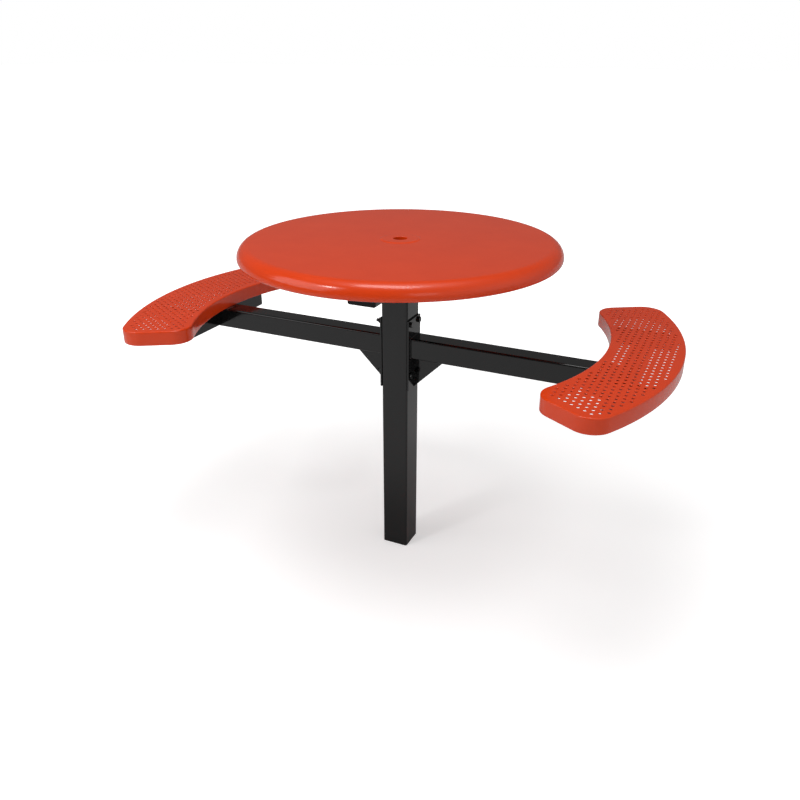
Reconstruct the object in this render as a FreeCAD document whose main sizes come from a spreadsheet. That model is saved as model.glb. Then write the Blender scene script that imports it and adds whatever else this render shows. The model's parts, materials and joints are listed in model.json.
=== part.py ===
import FreeCAD, Part
import math
import os
import Sketcher

# A round outdoor table on one square post set in the ground, with two curved
# perforated seats on arms bolted to the post. +Z is up, X runs along the arms,
# and the origin is the centre of the post's buried end.

SIZES = [
    ("table_height", "762.0", "ground to the table top"),
    ("seat_height", "460.5", "ground to the seat top"),
    ("embed_depth", "520.2", "length of post below the ground"),
    ("top_diameter", "1163.0", "outside of the rolled rim"),
    ("rim_depth", "56.0", "table top down to the rim's lower edge"),
    ("rim_radius", "44.45", "bullnose over the rim"),
    ("top_sheet", "3.4", "coated sheet of the table top"),
    ("boss_diameter", "132.0", "raised disc round the umbrella hole"),
    ("boss_height", "4.8", "rise of that disc"),
    ("boss_edge", "4.0", "slope at the disc's edge"),
    ("umbrella_hole", "50.8", "bore for the umbrella pole"),
    ("collar_depth", "25.4", "turned-down collar below the sheet"),
    ("post_side", "106.0", "square post and support beam, across the flats"),
    ("post_wall", "4.8", "wall of the post and the beam"),
    ("corner_radius", "7.4", "outer corner of every tube"),
    ("beam_length", "609.6", "support beam under the top"),
    ("pole_hole", "57.2", "holes in the beam for the umbrella pole"),
    ("pad_spacing", "457.2", "between the two mounting pads on the beam"),
    ("pad_length", "203.2", "mounting pad along X"),
    ("pad_width", "50.8", "mounting pad along Y"),
    ("pad_thickness", "6.35", "mounting pad"),
    ("pad_bolt_spacing", "152.4", "between the two bolts of a pad"),
    ("stiffener_length", "863.6", "channel under the sheet, along X"),
    ("stiffener_width", "76.2", "channel across"),
    ("stiffener_wall", "3.2", "channel wall"),
    ("arm_side", "80.2", "square arm, across the flats"),
    ("arm_wall", "4.8", "wall of the arm and the cross-member"),
    ("arm_drop", "58.0", "seat top down to the top of the arm"),
    ("arm_reach", "817.2", "post axis to the cross-member's inner face"),
    ("plate_thickness", "6.35", "flange plate on the post"),
    ("plate_rise", "70.4", "flange plate above the arm"),
    ("plate_drop", "126.8", "flange plate below the arm"),
    ("bolt_edge", "16.5", "upper bolts below the plate's top"),
    ("bolt_row_spacing", "203.2", "between the upper and lower bolts"),
    ("bolt_spacing", "71.0", "between the two bolts of a row"),
    ("bolt_diameter", "12.7", "through-bolts and pad bolts"),
    ("bolt_across", "19.05", "their heads and nuts, across the flats"),
    ("bolt_head", "8.0", "height of those heads"),
    ("bolt_nut", "11.1", "height of those nuts"),
    ("bolt_end", "9.5", "thread standing out of a nut"),
    ("bolt_clearance", "0.4", "between a shank and its hole"),
    ("gusset_leg", "129.4", "gusset along the arm"),
    ("gusset_thickness", "6.35", "gusset"),
    ("cross_width", "63.5", "cross-member along X"),
    ("cross_length", "546.1", "cross-member along Y"),
    ("cap_thickness", "3.2", "end cap of a tube"),
    ("cap_edge", "1.6", "slope round an end cap"),
    ("seat_lead", "49.7", "seat's inner edge nearer the post than the cross-member"),
    ("seat_depth", "250.0", "seat from its inner to its outer edge"),
    ("seat_outer_chord", "1134.4", "between the outer corners"),
    ("seat_inner_chord", "879.2", "between the inner corners"),
    ("seat_corner_share", "0.288", "corner radius in plan, as a share of the depth"),
    ("seat_skirt", "53.0", "turned-down edge of the seat"),
    ("seat_sheet", "4.0", "coated sheet of the seat"),
    ("seat_edge", "2.5", "slope at the top of the skirt"),
    ("perforation_pitch", "50.8", "between neighbouring openings"),
    ("perforation_width", "25.4", "opening, corner to corner"),
    ("perforation_margin", "28.0", "plain sheet round the openings' centres"),
    ("bracket_spacing", "508.0", "between the two brackets of a seat"),
    ("bracket_length", "215.9", "seat bracket along X"),
    ("bracket_width", "25.4", "seat bracket along Y"),
    ("bracket_wall", "3.2", "seat bracket"),
    ("bar_thickness", "4.8", "bar under the seat that takes the bolts"),
    ("seat_bolt_diameter", "9.5", "bolts up into the seat"),
    ("seat_bolt_across", "14.3", "their heads, across the flats"),
    ("seat_bolt_head", "6.2", "height of those heads"),
    ("seat_bolt_spacing", "139.7", "between the two bolts of a bracket"),
    ("overrun", "2.0", "how far a cutting solid passes a face"),
]

PLACES = [
    ("top_z", "=Sizes.table_height + Sizes.embed_depth", "table surface"),
    ("rim_z", "=top_z - Sizes.rim_depth", "rim's lower edge and beam's top"),
    ("sheet_z", "=top_z - Sizes.top_sheet", "underside of the top's sheet"),
    ("beam_z", "=rim_z - Sizes.post_side", "beam's underside and post's end"),
    ("pad_z", "=rim_z + Sizes.pad_thickness", "top of the mounting pads"),
    ("seat_z", "=Sizes.seat_height + Sizes.embed_depth", "seat surface"),
    ("arm_high", "=seat_z - Sizes.arm_drop", "top of the arms"),
    ("arm_low", "=arm_high - Sizes.arm_side", "underside of the arms"),
    ("plate_x", "=Sizes.post_side / 2 + Sizes.plate_thickness", "plate's outer face"),
    ("plate_low", "=arm_low - Sizes.plate_drop", "plate's lower end"),
    ("plate_high", "=arm_high + Sizes.plate_rise", "plate's upper end"),
    ("bolt_high", "=plate_high - Sizes.bolt_edge", "upper row of bolts"),
    ("bolt_low", "=bolt_high - Sizes.bolt_row_spacing", "lower row of bolts"),
    ("bar_z", "=seat_z - Sizes.seat_sheet - Sizes.bar_thickness", "under the bars"),
    ("bracket_y", "=Sizes.bracket_spacing / 2", "middle of a bracket"),
    ("seat_inner", "=Sizes.arm_reach - Sizes.seat_lead", "inner edge about the post"),
    ("seat_outer", "=seat_inner + Sizes.seat_depth", "outer edge about the post"),
    ("seat_corner", "=Sizes.seat_depth * Sizes.seat_corner_share", "seat's corners in plan"),
    ("seat_middle", "=(sqrt(seat_inner^2 - bracket_y^2) + sqrt(seat_outer^2 - bracket_y^2)) / 2",
     "middle of the seat over a bracket"),
    ("bolt_hole", "=Sizes.bolt_diameter + 2 * Sizes.bolt_clearance", "hole for a bolt"),
    ("seat_bolt_hole", "=Sizes.seat_bolt_diameter + 2 * Sizes.bolt_clearance", "its hole"),
    ("seat_bolt_y", "=bracket_y + Sizes.bracket_wall / 2", "line of the seat bolts"),
]

SMALL_SIDES = 6
RIM_STEPS = 5
LIP_STEPS = 2
NEAR = 0.001
RIGHT_ANGLE = 90
STAGGER_ANGLE = 60
SIDES = (("right", 1), ("left", -1))
ENDS = (("front", -1), ("rear", 1))

ALONG_X = FreeCAD.Vector(1, 0, 0)
ALONG_Y = FreeCAD.Vector(0, 1, 0)
ALONG_Z = FreeCAD.Vector(0, 0, 1)

doc = FreeCAD.newDocument("pedestal_table")
kept = []


def make_sheet(name, rows):
    """A spreadsheet with one named value per row."""
    sheet = doc.addObject("Spreadsheet::Sheet", name)
    for row, (alias, value, note) in enumerate(rows, 1):
        sheet.set(f"A{row}", note)
        sheet.set(f"B{row}", value)
        sheet.setAlias(f"B{row}", alias)
    return sheet


sizes = make_sheet("Sizes", SIZES)
doc.recompute()
places = make_sheet("Places", PLACES)
doc.recompute()


def number(expression):
    """What an expression comes to with the sizes as they stand."""
    found = places.evalExpression(expression)
    return float(getattr(found, "Value", found))


def bind(thing, **properties):
    """Tie properties to expressions, with __ for a dot in a property's name."""
    for name, expression in properties.items():
        thing.setExpression(name.replace("__", "."), expression)
    return thing


def locate(thing, x=None, y=None, z=None, side=1):
    """Put a piece in its place; side -1 turns it half round the post."""
    half_turn = 2 * RIGHT_ANGLE if side < 0 else 0
    turn = FreeCAD.Rotation(ALONG_Z, half_turn)
    thing.Placement = FreeCAD.Placement(FreeCAD.Vector(), turn)
    for axis, expression in (("x", x), ("y", y), ("z", z)):
        if expression:
            thing.setExpression(f"Placement.Base.{axis}", expression)
    return thing


def keep(thing, label):
    """Name a piece and put it on the list of what is written out."""
    thing.Label = label
    kept.append(thing)
    return thing


# Sketches

def start_sketch(body, name, plane):
    sketch = body.newObject("Sketcher::SketchObject", name)
    support = [item for item in body.Origin.OriginFeatures if item.Role == plane][0]
    sketch.AttachmentSupport = [(support, "")]
    sketch.MapMode = "FlatFace"
    return sketch


def dimension(sketch, kind, targets, expression):
    """A driving dimension tied to an expression."""
    index = sketch.addConstraint(Sketcher.Constraint(kind, *targets, number(expression)))
    sketch.setExpression(f"Constraints[{index}]", expression)


def add_outline(sketch, corners):
    """A closed outline of straight lines through corners given as (x, y) expressions."""
    points = [FreeCAD.Vector(number(x), number(y), 0) for x, y in corners]
    lines = []
    for start, end in zip(points, points[1:] + points[:1]):
        lines.append(sketch.addGeometry(Part.LineSegment(start, end), False))
    for at, (x, y) in enumerate(corners):
        sketch.addConstraint(Sketcher.Constraint("Coincident", lines[at - 1], 2, lines[at], 1))
        dimension(sketch, "DistanceX", (-1, 1, lines[at], 1), x)
        dimension(sketch, "DistanceY", (-1, 1, lines[at], 1), y)


def add_rectangle(sketch, low, high):
    add_outline(sketch, [(low[0], low[1]), (high[0], low[1]), (high[0], high[1]), (low[0], high[1])])


def add_square(sketch, width, height):
    """A rectangle centred on the sketch's origin."""
    add_rectangle(sketch, (f"-({width}) / 2", f"-({height}) / 2"), (f"({width}) / 2", f"({height}) / 2"))


def add_middle_circle(sketch, diameter):
    circle = Part.Circle(FreeCAD.Vector(), ALONG_Z, number(diameter) / 2)
    index = sketch.addGeometry(circle, False)
    dimension(sketch, "Diameter", (index,), diameter)
    sketch.addConstraint(Sketcher.Constraint("Coincident", index, 3, -1, 1))


def add_small_hole(sketch, x, y, diameter):
    """A bolt's hole with as many flats as its shank."""
    corners = []
    for at in range(SMALL_SIDES):
        angle = RIGHT_ANGLE + 4 * RIGHT_ANGLE * at / SMALL_SIDES
        corners.append((f"{x} + {diameter} / 2 * cos({angle})", f"{y} + {diameter} / 2 * sin({angle})"))
    add_outline(sketch, corners)


# Features

def add_pad(body, sketch, length, both_ways=False):
    pad = body.newObject("PartDesign::Pad", f"{sketch.Name}_pad")
    pad.Profile = sketch
    if both_ways:
        pad.SideType = "Symmetric"
    bind(pad, Length=length)
    doc.recompute()
    return pad


def add_pocket(body, sketch):
    """Cut a sketch through everything, both ways."""
    before = body.Shape.Volume
    pocket = body.newObject("PartDesign::Pocket", f"{sketch.Name}_pocket")
    pocket.Profile = sketch
    pocket.Type = "ThroughAll"
    pocket.SideType = "Symmetric"
    doc.recompute()
    if not body.Shape.Volume < before:
        raise RuntimeError(f"{pocket.Name} cuts nothing")


def edges_where(feature, test):
    return [f"Edge{at}" for at, edge in enumerate(feature.Shape.Edges, 1) if test(edge)]


def is_straight_along(edge, direction):
    if edge.Curve.TypeId != "Part::GeomLine":
        return False
    return edge.tangentAt(edge.FirstParameter).cross(direction).Length < NEAR


def is_level_at(edge, height):
    box = edge.BoundBox
    return abs(box.ZMin - height) < NEAR and abs(box.ZMax - height) < NEAR


def round_long_edges(body, pad, direction):
    """Round a tube's four outer long edges."""
    box = pad.Shape.BoundBox
    middle = box.Center
    reach = max((edge.CenterOfMass - middle).Length for edge in pad.Shape.Edges
                if is_straight_along(edge, direction))
    outer = edges_where(pad, lambda edge: is_straight_along(edge, direction)
                        and (edge.CenterOfMass - middle).Length > reach - NEAR)
    fillet = body.newObject("PartDesign::Fillet", f"{body.Name}_corners")
    fillet.Base = (pad, outer)
    bind(fillet, Radius="Sizes.corner_radius")
    doc.recompute()


def make_tube(name, plane, direction, width, height, wall, length, both_ways=False):
    """A rectangular tube whose section is centred on its own axis."""
    body = doc.addObject("PartDesign::Body", name)
    section = start_sketch(body, f"{name}_section", plane)
    add_square(section, width, height)
    add_square(section, f"{width} - 2 * {wall}", f"{height} - 2 * {wall}")
    pad = add_pad(body, section, length, both_ways)
    round_long_edges(body, pad, direction)
    return body


# Part primitives

def make_box(name, low, size):
    """A box from its low corner and its three sizes, all expressions."""
    box = bind(doc.addObject("Part::Box", name), Length=size[0], Width=size[1], Height=size[2])
    return locate(box, *low)


def make_shank(name, diameter, length, x, y, z):
    """A small rod or drill, with few flats to keep the mesh light."""
    rod = doc.addObject("Part::Prism", name)
    rod.Polygon = SMALL_SIDES
    bind(rod, Circumradius=f"({diameter}) / 2", Height=length)
    return locate(rod, x, y, z)


def make_hexagon(name, across, height, x, y, z):
    """A bolt head or a nut from its size across the flats."""
    prism = doc.addObject("Part::Prism", name)
    prism.Polygon = 6
    bind(prism, Circumradius=f"({across}) / sqrt(3)", Height=height)
    return locate(prism, x, y, z)


def make_cut(name, base, *tools):
    tool = tools[0]
    if len(tools) > 1:
        tool = doc.addObject("Part::MultiFuse", f"{name}_tools")
        tool.Shapes = list(tools)
    cut = doc.addObject("Part::Cut", name)
    cut.Base = base
    cut.Tool = tool
    return cut


def make_fuse(name, *pieces):
    fuse = doc.addObject("Part::MultiFuse", name)
    fuse.Shapes = list(pieces)
    return fuse


def make_group(label, pieces):
    """Identical loose pieces as one node of separate solids."""
    group = doc.addObject("Part::Compound", label)
    group.Links = list(pieces)
    return keep(group, label)


# Table top and what carries it

def bend(middle_x, middle_y, radius, first, last, steps):
    """Corners along a bend, from one angle to another, so that the mesh stays light."""
    corners = []
    for step in range(steps + 1):
        angle = first + (last - first) * step / steps
        corners.append((f"{middle_x} + ({radius}) * cos({angle})", f"{middle_y} + ({radius}) * sin({angle})"))
    return corners


def build_table_top():
    """A formed round top: bullnose rim, raised disc and a collared umbrella hole."""
    rim = "Sizes.top_diameter / 2"
    hole = "Sizes.umbrella_hole / 2"
    boss = "Sizes.boss_diameter / 2"
    top = "Sizes.rim_depth"
    under = f"{top} - Sizes.top_sheet"
    turn = f"{top} - Sizes.rim_radius"
    over = (f"{rim} - Sizes.rim_radius", turn)
    body = doc.addObject("PartDesign::Body", "table_top")
    profile = start_sketch(body, "top_profile", "XZ_Plane")
    outside = bend(*over, "Sizes.rim_radius", RIGHT_ANGLE, 0, RIM_STEPS)
    lip = bend(f"{rim} - ({turn})", turn, turn, 0, -RIGHT_ANGLE, LIP_STEPS)
    inside = bend(*over, "Sizes.rim_radius - Sizes.top_sheet", 0, RIGHT_ANGLE, LIP_STEPS)
    add_outline(profile, outside + lip[1:] + inside + [
        (f"{hole} + Sizes.top_sheet", under),
        (f"{hole} + Sizes.top_sheet", f"{under} - Sizes.collar_depth"),
        (hole, f"{under} - Sizes.collar_depth"),
        (hole, f"{top} + Sizes.boss_height"),
        (f"{boss} - Sizes.boss_edge", f"{top} + Sizes.boss_height"),
        (boss, top),
    ])
    turned = body.newObject("PartDesign::Revolution", "top_turned")
    turned.Profile = profile
    turned.ReferenceAxis = (profile, ["V_Axis"])
    doc.recompute()
    keep(locate(body, z="Places.rim_z"), "table_top")


def build_support():
    """The post, the beam across its top, and the beam's pads and end caps."""
    post = make_tube("post", "XY_Plane", ALONG_Z, "Sizes.post_side", "Sizes.post_side",
                     "Sizes.post_wall", "Places.beam_z")
    holes = start_sketch(post, "post_holes", "YZ_Plane")
    for y in ("-Sizes.bolt_spacing / 2", "Sizes.bolt_spacing / 2"):
        for z in ("Places.bolt_high", "Places.bolt_low"):
            add_small_hole(holes, y, z, "Places.bolt_hole")
    add_pocket(post, holes)
    keep(post, "post")

    beam = make_tube("top_support_beam", "XZ_Plane", ALONG_Y, "Sizes.post_side", "Sizes.post_side",
                     "Sizes.post_wall", "Sizes.beam_length", both_ways=True)
    pole = start_sketch(beam, "beam_pole_hole", "XY_Plane")
    add_middle_circle(pole, "Sizes.pole_hole")
    add_pocket(beam, pole)
    keep(locate(beam, z="Places.rim_z - Sizes.post_side / 2"), "top_support_beam")

    bolts, nuts = [], []
    for name, end in ENDS:
        middle = f"{end} * Sizes.pad_spacing / 2"
        pad = make_box(f"{name}_pad_blank", (
            "-Sizes.pad_length / 2", f"{middle} - Sizes.pad_width / 2", "Places.rim_z"),
            ("Sizes.pad_length", "Sizes.pad_width", "Sizes.pad_thickness"))
        channel = make_box(f"{name}_stiffener_blank", (
            "-Sizes.stiffener_length / 2", f"{middle} - Sizes.stiffener_width / 2", "Places.pad_z"),
            ("Sizes.stiffener_length", "Sizes.stiffener_width", "Places.sheet_z - Places.pad_z"))
        hollow = make_box(f"{name}_stiffener_hollow", (
            "-Sizes.stiffener_length / 2 - Sizes.overrun",
            f"{middle} - Sizes.stiffener_width / 2 + Sizes.stiffener_wall",
            "Places.pad_z + Sizes.stiffener_wall"),
            ("Sizes.stiffener_length + 2 * Sizes.overrun",
             "Sizes.stiffener_width - 2 * Sizes.stiffener_wall",
             "Places.sheet_z - Places.pad_z"))
        drills = []
        for at, side in SIDES:
            x = f"{side} * Sizes.pad_bolt_spacing / 2"
            drills.append(make_shank(
                f"{name}_{at}_pad_drill", "Places.bolt_hole",
                "Sizes.pad_thickness + Sizes.stiffener_wall + 2 * Sizes.overrun",
                x, middle, "Places.rim_z - Sizes.overrun"))
            head = make_hexagon(f"{name}_{at}_pad_bolt_head", "Sizes.bolt_across", "Sizes.bolt_head",
                                x, middle, "Places.rim_z - Sizes.bolt_head")
            shank = make_shank(
                f"{name}_{at}_pad_bolt_shank", "Sizes.bolt_diameter",
                "Sizes.pad_thickness + Sizes.stiffener_wall + Sizes.bolt_nut + Sizes.bolt_end",
                x, middle, "Places.rim_z")
            bolts.append(make_fuse(f"{name}_{at}_pad_bolt", head, shank))
            blank = make_hexagon(f"{name}_{at}_pad_nut_blank", "Sizes.bolt_across", "Sizes.bolt_nut",
                                 x, middle, "Places.pad_z + Sizes.stiffener_wall")
            bore = make_shank(f"{name}_{at}_pad_nut_bore", "Sizes.bolt_diameter",
                                 "Sizes.bolt_nut", x, middle, "Places.pad_z + Sizes.stiffener_wall")
            nuts.append(make_cut(f"{name}_{at}_pad_nut", blank, bore))
        keep(make_cut(f"{name}_mounting_pad", pad, *drills), f"{name}_mounting_pad")
        keep(make_cut(f"{name}_top_stiffener", channel, hollow, *drills), f"{name}_top_stiffener")
    make_group("top_bolts", bolts)
    make_group("top_nuts", nuts)


def build_caps(label, width, height, ends):
    """Plugs that close tube ends; ends holds (x, y, z, outward sign) of each end's middle."""
    caps = []
    for at, (x, y, z, outward) in enumerate(ends):
        near = y if outward > 0 else f"{y} - Sizes.cap_thickness"
        blank = make_box(f"{label}_{at}_blank", (f"{x} - ({width}) / 2", near, f"{z} - ({height}) / 2"),
                         (width, "Sizes.cap_thickness", height))
        doc.recompute()
        face_y = number(y) + outward * number("Sizes.cap_thickness")
        rim = [index for index, edge in enumerate(blank.Shape.Edges, 1)
               if abs(edge.BoundBox.YMin - face_y) < NEAR and abs(edge.BoundBox.YMax - face_y) < NEAR]
        cap = doc.addObject("Part::Chamfer", f"{label}_{at}")
        cap.Base = blank
        edge_size = number("Sizes.cap_edge")
        cap.Edges = [(index, edge_size, edge_size) for index in rim]
        caps.append(cap)
    make_group(label, caps)


# Arms

def build_arm(name, side):
    """One arm: flange plate, square tube, gusset and the cross-member at its end."""
    plate = doc.addObject("PartDesign::Body", f"{name}_flange_plate")
    face = start_sketch(plate, f"{name}_plate_face", "YZ_Plane")
    add_rectangle(face, ("-Sizes.post_side / 2", "Places.plate_low"),
                  ("Sizes.post_side / 2", "Places.plate_high"))
    for y in ("-Sizes.bolt_spacing / 2", "Sizes.bolt_spacing / 2"):
        for z in ("Places.bolt_high", "Places.bolt_low"):
            add_small_hole(face, y, z, "Places.bolt_hole")
    add_pad(plate, face, "Sizes.plate_thickness")
    keep(locate(plate, x=f"{side} * Sizes.post_side / 2", side=side), f"{name}_flange_plate")

    arm = make_tube(f"{name}_arm", "YZ_Plane", ALONG_X, "Sizes.arm_side", "Sizes.arm_side",
                    "Sizes.arm_wall", "Sizes.arm_reach - Places.plate_x")
    keep(locate(arm, x=f"{side} * Places.plate_x", z="Places.arm_high - Sizes.arm_side / 2", side=side),
         f"{name}_arm")

    gusset = doc.addObject("PartDesign::Body", f"{name}_gusset")
    outline = start_sketch(gusset, f"{name}_gusset_outline", "XZ_Plane")
    add_outline(outline, [
        ("Places.plate_x", "Places.arm_low"),
        ("Places.plate_x", "Places.plate_low"),
        ("Places.plate_x + Sizes.gusset_leg", "Places.arm_low"),
    ])
    add_pad(gusset, outline, "Sizes.gusset_thickness", both_ways=True)
    keep(locate(gusset, side=side), f"{name}_gusset")

    cross = make_tube(f"{name}_cross_member", "XZ_Plane", ALONG_Y, "Sizes.cross_width",
                      "Sizes.arm_side", "Sizes.arm_wall", "Sizes.cross_length", both_ways=True)
    keep(locate(cross, x=f"{side} * (Sizes.arm_reach + Sizes.cross_width / 2)",
                z="Places.arm_high - Sizes.arm_side / 2", side=side), f"{name}_cross_member")


def build_flange_bolts():
    """Bolts right through both flange plates and the post, heads to the right."""
    bolts, nuts = [], []
    across = FreeCAD.Rotation(ALONG_Y, RIGHT_ANGLE)
    for row, z in (("upper", "Places.bolt_high"), ("lower", "Places.bolt_low")):
        for name, end in ENDS:
            y = f"{end} * Sizes.bolt_spacing / 2"
            label = f"{row}_{name}"
            head = make_hexagon(f"{label}_bolt_head", "Sizes.bolt_across", "Sizes.bolt_head",
                                "Places.plate_x", y, z)
            start = "-Places.plate_x - Sizes.bolt_nut - Sizes.bolt_end"
            shank = make_shank(f"{label}_bolt_shank", "Sizes.bolt_diameter",
                                  f"Places.plate_x - ({start})", start, y, z)
            blank = make_hexagon(f"{label}_nut_blank", "Sizes.bolt_across", "Sizes.bolt_nut",
                                 "-Places.plate_x - Sizes.bolt_nut", y, z)
            bore = make_shank(f"{label}_nut_bore", "Sizes.bolt_diameter", "Sizes.bolt_nut",
                                 "-Places.plate_x - Sizes.bolt_nut", y, z)
            for piece in (head, shank, blank, bore):
                piece.Placement.Rotation = across
            bolts.append(make_fuse(f"{label}_bolt", head, shank))
            nuts.append(make_cut(f"{label}_nut", blank, bore))
    make_group("flange_bolts", bolts)
    make_group("flange_nuts", nuts)


# Seats

def make_seat_pan(name):
    """The formed seat before it is perforated, with z = 0 at the skirt's lower edge."""
    body = doc.addObject("PartDesign::Body", f"{name}_seat_pan")
    plan = start_sketch(body, f"{name}_seat_plan", "XY_Plane")
    arcs = []
    for radius, chord in (("Places.seat_outer", "Sizes.seat_outer_chord"),
                          ("Places.seat_inner", "Sizes.seat_inner_chord")):
        half_angle = math.asin(number(chord) / 2 / number(radius))
        circle = Part.Circle(FreeCAD.Vector(), ALONG_Z, number(radius))
        arc = plan.addGeometry(Part.ArcOfCircle(circle, -half_angle, half_angle), False)
        plan.addConstraint(Sketcher.Constraint("Coincident", arc, 3, -1, 1))
        dimension(plan, "Radius", (arc,), radius)
        dimension(plan, "DistanceY", (arc, 1, arc, 2), chord)
        plan.addConstraint(Sketcher.Constraint("Symmetric", arc, 1, arc, 2, -1))
        arcs.append(arc)
    outer, inner = arcs
    for end in (1, 2):
        ends = [plan.getPoint(arc, end) for arc in (inner, outer)]
        line = plan.addGeometry(Part.LineSegment(*ends), False)
        plan.addConstraint(Sketcher.Constraint("Coincident", line, 1, inner, end))
        plan.addConstraint(Sketcher.Constraint("Coincident", line, 2, outer, end))
    pad = add_pad(body, plan, "Sizes.seat_skirt")
    corners = body.newObject("PartDesign::Fillet", f"{name}_seat_corners")
    corners.Base = (pad, edges_where(pad, lambda edge: is_straight_along(edge, ALONG_Z)))
    bind(corners, Radius="Places.seat_corner")
    doc.recompute()
    shell = body.newObject("PartDesign::Thickness", f"{name}_seat_shell")
    under = [f"Face{at}" for at, face in enumerate(corners.Shape.Faces, 1)
             if abs(face.BoundBox.ZMax) < NEAR]
    shell.Base = (corners, under)
    shell.Reversed = True
    bind(shell, Value="Sizes.seat_sheet")
    doc.recompute()
    height = number("Sizes.seat_skirt")
    shoulder = body.newObject("PartDesign::Chamfer", f"{name}_seat_shoulder")
    shoulder.Base = (shell, edges_where(shell, lambda edge: is_level_at(edge, height)))
    bind(shoulder, Size="Sizes.seat_edge")
    doc.recompute()
    return body


def punch_places(flat):
    """Centres of the staggered openings that keep the margin to the flat's edge."""
    pitch = number("Sizes.perforation_pitch")
    margin = number("Sizes.perforation_margin")
    column_step = pitch * math.sin(math.radians(STAGGER_ANGLE))
    box = flat.BoundBox
    middle = (number("Places.seat_inner") + number("Places.seat_outer")) / 2
    columns = int(box.XLength / column_step) + 1
    rows = int(box.YLength / 2 / pitch) + 1
    found = []
    for column in range(-columns, columns + 1):
        shift = pitch / 2 if column % 2 else 0
        for row in range(-rows, rows + 1):
            point = FreeCAD.Vector(middle + column * column_step, row * pitch + shift, box.ZMax)
            inside = flat.isInside(point, NEAR, True)
            if inside and Part.Vertex(point).distToShape(flat.OuterWire)[0] >= margin:
                found.append(point)
    return found


def build_seat(name, side):
    """A curved seat with a turned-down skirt and staggered openings."""
    pan = make_seat_pan(name)
    flat = max((face for face in pan.Shape.Faces if face.normalAt(0, 0).isEqual(ALONG_Z, NEAR)),
               key=lambda face: face.BoundBox.ZMax)
    reach = number("Sizes.perforation_width") / 2
    overrun = number("Sizes.overrun")
    drop = FreeCAD.Vector(0, 0, -number("Sizes.seat_sheet") - 2 * overrun)
    punches = []
    for centre in punch_places(flat):
        corners = []
        for at in range(SMALL_SIDES):
            angle = 2 * math.pi * (at + 0.5) / SMALL_SIDES
            corners.append(centre + FreeCAD.Vector(reach * math.cos(angle), reach * math.sin(angle), overrun))
        outline = Part.makePolygon(corners + corners[:1])
        punches.append(Part.Face(outline).extrude(drop))
    punch = doc.addObject("Part::Feature", f"{name}_seat_punches")
    punch.Shape = Part.makeCompound(punches)
    seat = make_cut(f"{name}_seat", pan, punch)
    keep(locate(seat, z="Places.seat_z - Sizes.seat_skirt", side=side), f"{name}_seat")


def build_seat_mountings():
    """Per seat two channel brackets on the cross-member, two bars and four bolts."""
    bolts = []
    for name, side in SIDES:
        middle_x = f"{side} * Places.seat_middle"
        low_x = f"{middle_x} - Sizes.bracket_length / 2"
        for end_name, end in ENDS:
            label = f"{name}_{end_name}"
            low_y = f"{end} * Places.bracket_y - Sizes.bracket_width / 2"
            height = "Places.bar_z - Places.arm_high"
            blank = make_box(f"{label}_bracket_blank", (low_x, low_y, "Places.arm_high"),
                             ("Sizes.bracket_length", "Sizes.bracket_width", height))
            hollow = make_box(
                f"{label}_bracket_hollow",
                (f"{low_x} - Sizes.overrun", f"{low_y} + {end} * Sizes.bracket_wall",
                 "Places.arm_high + Sizes.bracket_wall"),
                ("Sizes.bracket_length + 2 * Sizes.overrun", "Sizes.bracket_width",
                 f"{height} - 2 * Sizes.bracket_wall"))
            bar = make_box(f"{label}_bar_blank", (low_x, low_y, "Places.bar_z"),
                           ("Sizes.bracket_length", "Sizes.bracket_width", "Sizes.bar_thickness"))
            drills, taps = [], []
            for at, shift in SIDES:
                x = f"{middle_x} + {shift} * Sizes.seat_bolt_spacing / 2"
                y = f"{end} * Places.seat_bolt_y"
                under = "Places.bar_z - Sizes.bracket_wall"
                reach = "Sizes.bracket_wall + Sizes.bar_thickness"
                for tools, kind, hole in ((drills, "drill", "Places.seat_bolt_hole"),
                                          (taps, "tap", "Sizes.seat_bolt_diameter")):
                    tools.append(make_shank(f"{label}_{at}_{kind}", hole,
                                            f"{reach} + 2 * Sizes.overrun", x, y,
                                            f"{under} - Sizes.overrun"))
                head = make_hexagon(f"{label}_{at}_seat_bolt_head", "Sizes.seat_bolt_across",
                                    "Sizes.seat_bolt_head", x, y, f"{under} - Sizes.seat_bolt_head")
                shank = make_shank(f"{label}_{at}_seat_bolt_shank", "Sizes.seat_bolt_diameter",
                                      reach, x, y, under)
                bolts.append(make_fuse(f"{label}_{at}_seat_bolt", head, shank))
            keep(make_cut(f"{label}_seat_bracket", blank, hollow, *drills), f"{label}_seat_bracket")
            keep(make_cut(f"{label}_seat_bar", bar, *taps), f"{label}_seat_bar")
    make_group("seat_bolts", bolts)


build_table_top()
build_support()
build_flange_bolts()
for side_name, side_sign in SIDES:
    build_arm(side_name, side_sign)
    build_seat(side_name, side_sign)
build_seat_mountings()
beam_middle = "Places.rim_z - Sizes.post_side / 2"
build_caps("beam_end_caps", "Sizes.post_side", "Sizes.post_side",
           [("0", f"{end} * Sizes.beam_length / 2", beam_middle, end) for _, end in ENDS])
cross_middle = "(Sizes.arm_reach + Sizes.cross_width / 2)"
build_caps("cross_member_caps", "Sizes.cross_width", "Sizes.arm_side",
           [(f"{side} * {cross_middle}", f"{end} * Sizes.cross_length / 2",
             "Places.arm_high - Sizes.arm_side / 2", end) for _, side in SIDES for _, end in ENDS])
doc.recompute()

for thing in doc.Objects:
    if "Invalid" in thing.State or "Error" in thing.State:
        raise RuntimeError(f"{thing.Name} failed: {thing.State}")
for thing in kept:
    if thing.Shape.isNull() or not thing.Shape.isValid():
        raise RuntimeError(f"{thing.Label} has no valid shape")

os.makedirs("parts", exist_ok=True)
for thing in kept:
    thing.Shape.exportStep(f"parts/{thing.Label}.step")
    print(thing.Label, len(thing.Shape.Solids), round(thing.Shape.Volume))
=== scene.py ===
import json
import math
import random

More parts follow.
